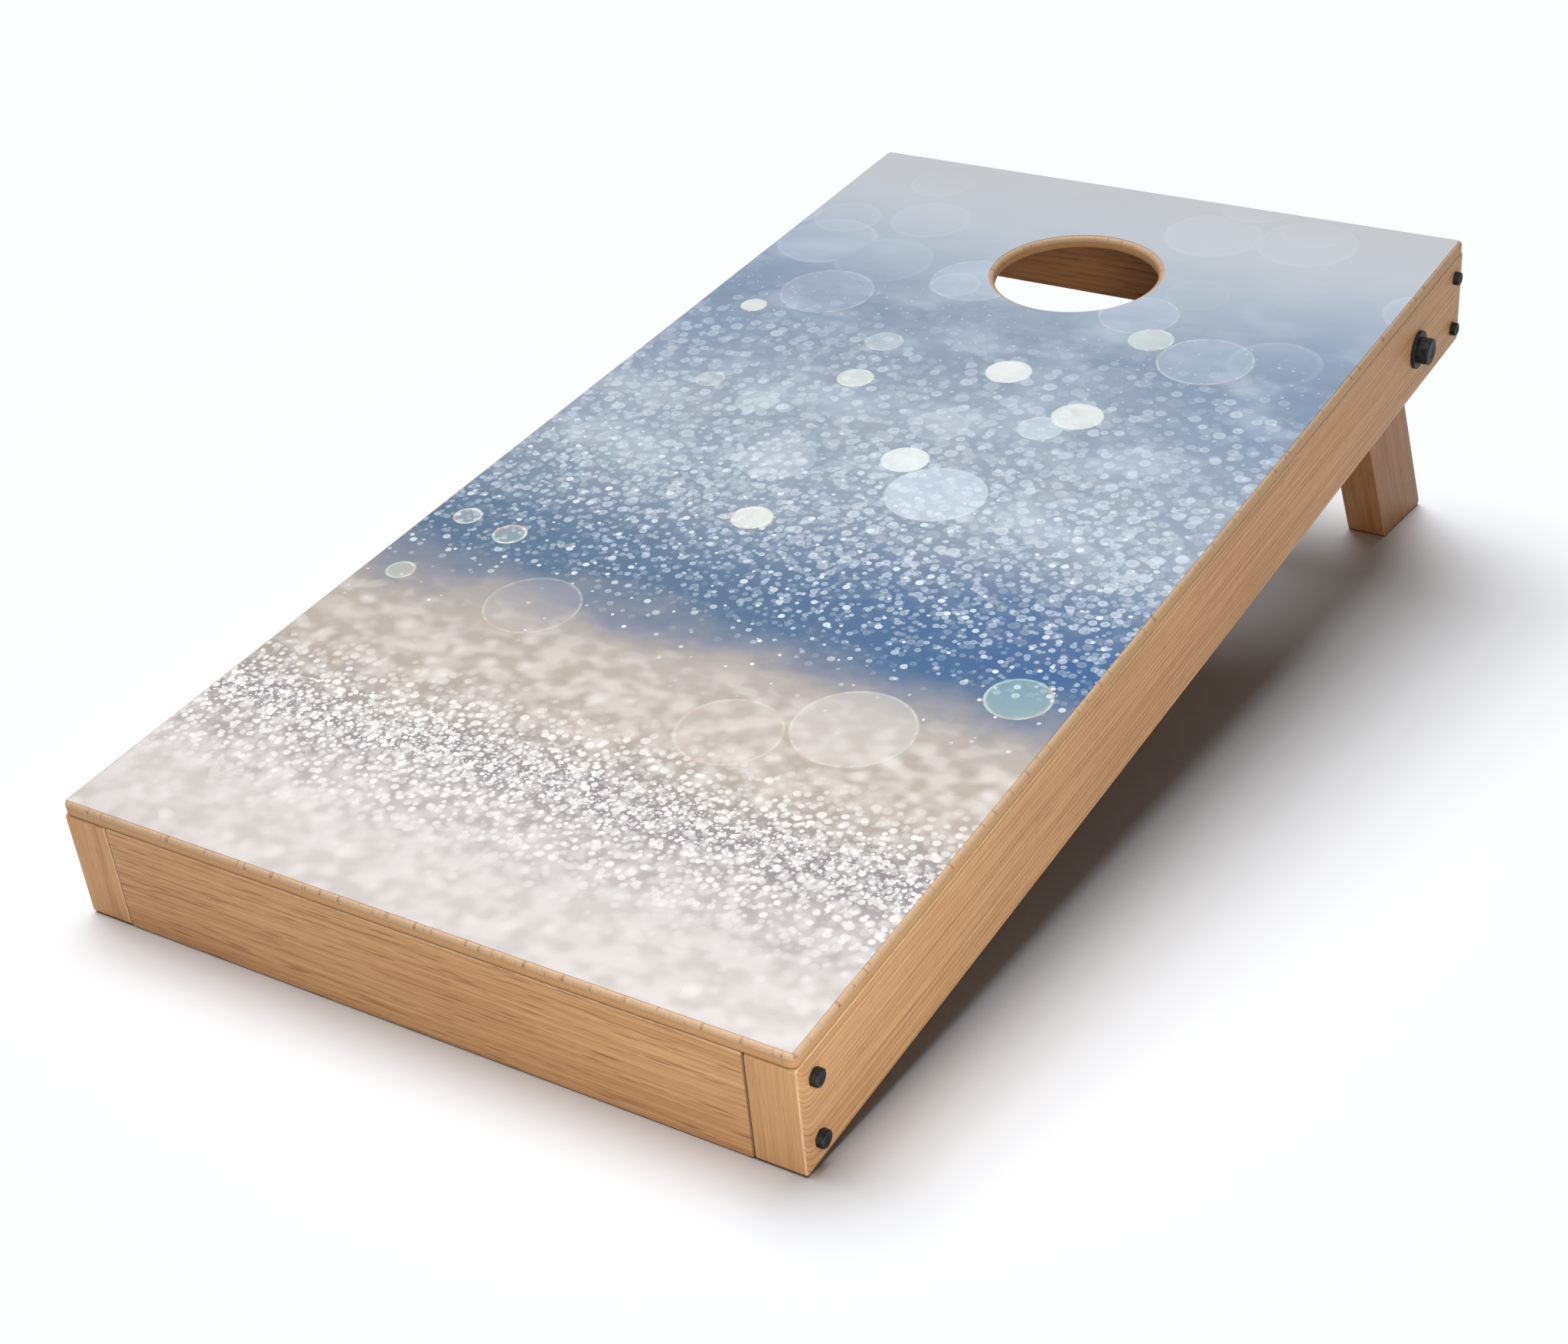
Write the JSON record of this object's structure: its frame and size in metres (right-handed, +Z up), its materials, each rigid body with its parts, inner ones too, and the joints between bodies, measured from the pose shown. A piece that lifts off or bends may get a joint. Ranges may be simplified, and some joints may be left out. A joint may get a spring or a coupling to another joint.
{
  "type": "cornhole board",
  "caption": "Slanted wooden bean-bag game board: printed deck with a round hole near the raised rear edge, plank frame below, and folding legs on through bolts.",
  "frame": {"origin": "on the ground, at the middle of the box that the board fills when it stands on its legs", "axes": "+Z up, -Y towards the low front edge where the thrower stands, +Y towards the raised rear edge and the hole, +X to the thrower's right"},
  "size_m": [0.6378, 1.2994, 0.3054],
  "materials": {
    "plywood": "satin clear coat",
    "printed_film": "satin printed film",
    "frame_wood": "satin clear coat",
    "black_steel": "matte black",
    "zinc_steel": "zinc plated",
    "nylon": "matte"
  },
  "bodies": {
    "board": {"deck_panel": "plywood", "printed_skin": "printed_film", "front_board": "frame_wood", "rear_board": "frame_wood", "left_rail": "frame_wood", "right_rail": "frame_wood", "deck_screw_01": "zinc_steel", "deck_screw_02": "zinc_steel", "deck_screw_03": "zinc_steel", "deck_screw_04": "zinc_steel", "deck_screw_05": "zinc_steel", "deck_screw_06": "zinc_steel", "deck_screw_07": "zinc_steel", "deck_screw_08": "zinc_steel", "deck_screw_09": "zinc_steel", "deck_screw_10": "zinc_steel", "deck_screw_11": "zinc_steel", "deck_screw_12": "zinc_steel", "left_front_lower_lag_screw": "black_steel", "left_front_upper_lag_screw": "black_steel", "left_rear_lower_lag_screw": "black_steel", "left_rear_upper_lag_screw": "black_steel", "right_front_lower_lag_screw": "black_steel", "right_front_upper_lag_screw": "black_steel", "right_rear_lower_lag_screw": "black_steel", "right_rear_upper_lag_screw": "black_steel", "left_outer_washer": "black_steel", "left_pivot_bolt": "black_steel", "left_spacer_washer": "nylon", "left_inner_washer": "zinc_steel", "left_lock_nut": "zinc_steel", "right_outer_washer": "black_steel", "right_pivot_bolt": "black_steel", "right_spacer_washer": "nylon", "right_inner_washer": "zinc_steel", "right_lock_nut": "zinc_steel"},
    "left_leg": {"left_leg": "frame_wood"},
    "right_leg": {"right_leg": "frame_wood"}
  },
  "joints": [
    {"name": "left_leg_fold", "type": "hinge", "parent": "board", "child": "left_leg", "pos_m": [-0.24555, 0.44481, 0.22974], "axis": [-1, 0, 0], "range_deg": [0, 114]},
    {"name": "right_leg_fold", "type": "hinge", "parent": "board", "child": "right_leg", "pos_m": [0.24555, 0.44481, 0.22974], "axis": [-1, 0, 0], "range_deg": [0, 114]}
  ]
}
